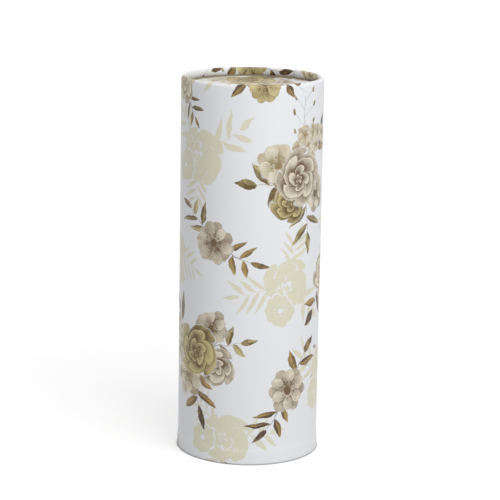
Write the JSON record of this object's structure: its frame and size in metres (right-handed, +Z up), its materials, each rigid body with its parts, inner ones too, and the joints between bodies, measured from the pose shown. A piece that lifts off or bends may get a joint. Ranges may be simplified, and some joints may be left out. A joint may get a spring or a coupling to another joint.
{
  "type": "cylinder keepsake box",
  "caption": "Tall round keepsake box of wound board in printed paper, with a rounded rim, a recessed lid that lifts out and a recessed base.",
  "frame": {"origin": "centre of the foot, on the surface that the box stands on", "axes": "+Z up along the tube's axis, -Y towards the viewer of the picture"},
  "size_m": [0.1212, 0.1212, 0.322],
  "materials": {
    "printed_paper": "satin laminated, floral print in cream, taupe and olive brown on white",
    "plain_paper": "matt, uncoated",
    "grey_board": "raw wound board",
    "white_board": "white-lined board"
  },
  "bodies": {
    "box": {"body_tube": "grey_board", "printed_wrap": "printed_paper", "inner_liner": "plain_paper", "lid_seat_ring": "white_board", "base_hoop": "white_board", "base_board": "grey_board", "base_face_paper": "plain_paper", "base_floor_paper": "plain_paper"},
    "lid": {"lid_board": "grey_board", "lid_cover_paper": "printed_paper", "lid_skirt": "white_board", "lid_underside_paper": "plain_paper"}
  },
  "joints": [
    {"name": "lid_lift", "type": "slide", "parent": "box", "child": "lid", "axis": [0, 0, 1], "range_m": [0, 0.055]}
  ]
}
